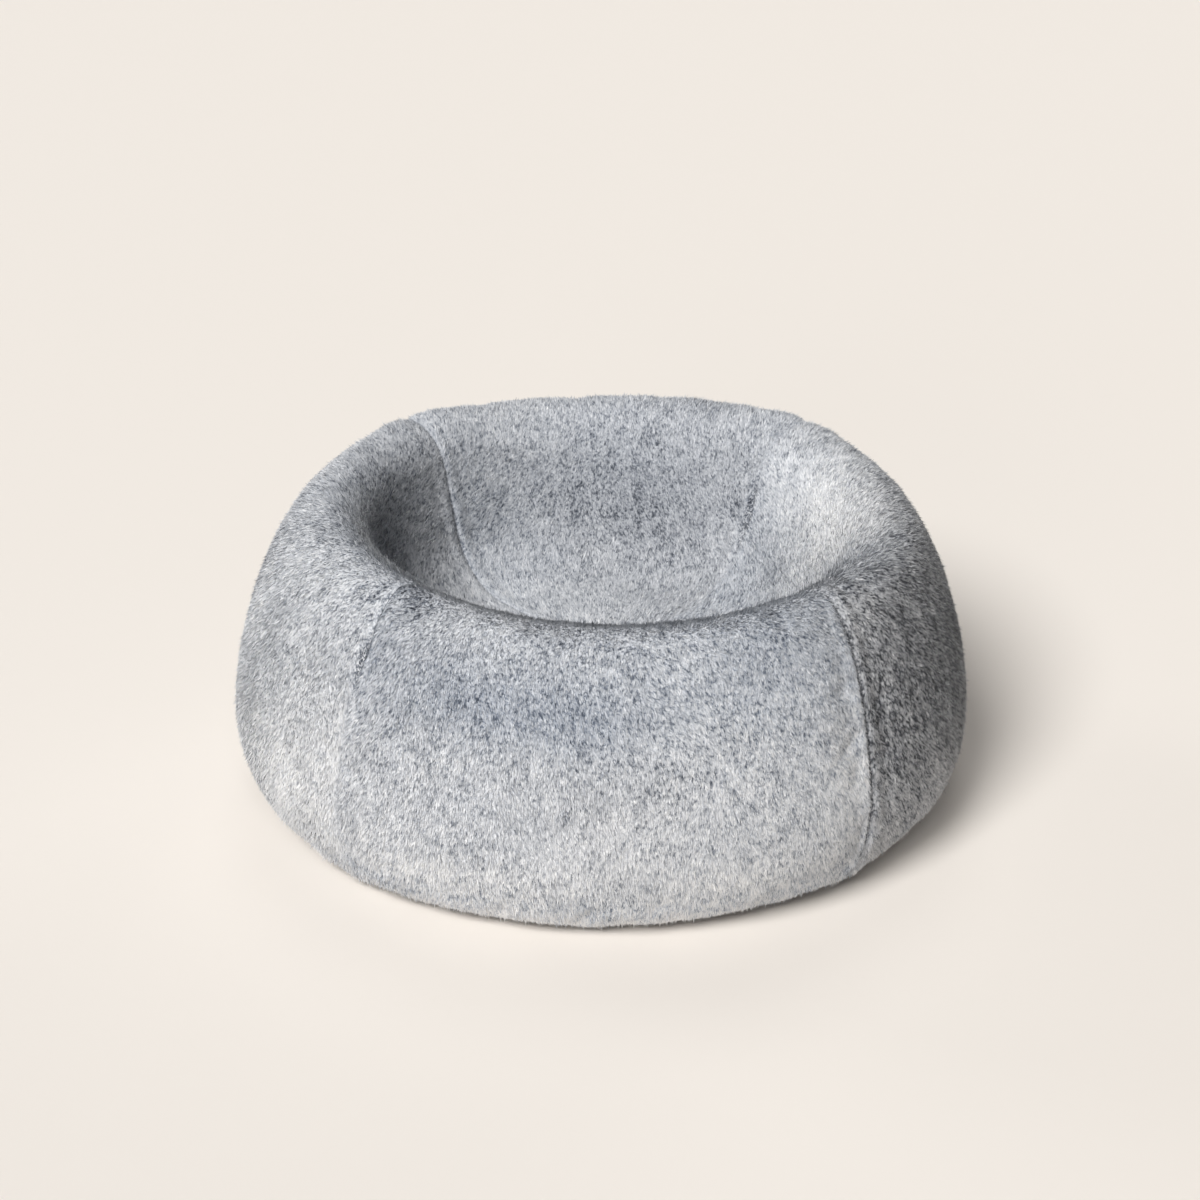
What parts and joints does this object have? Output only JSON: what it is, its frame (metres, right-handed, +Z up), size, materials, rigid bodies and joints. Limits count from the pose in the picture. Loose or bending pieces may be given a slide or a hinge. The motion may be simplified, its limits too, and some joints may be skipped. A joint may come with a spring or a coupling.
{
  "type": "cat nest bed",
  "caption": "Round filled nest bed for a cat, sewn from wide plush gores, with a broad soft rim around a sunken hollow and a flat round base.",
  "frame": {"origin": "on the floor, under the middle of the nest", "axes": "+Z up, -Y towards the front panel, +X to the right seen from the front"},
  "size_m": [0.5043, 0.4974, 0.2191],
  "materials": {
    "plush": "short heathered grey plush pile",
    "base_cloth": "plain woven base cloth"
  },
  "bodies": {
    "root": {"panel_front": "plush", "panel_right": "plush", "panel_back": "plush", "panel_left": "plush", "base_panel": "base_cloth"}
  },
  "joints": []
}
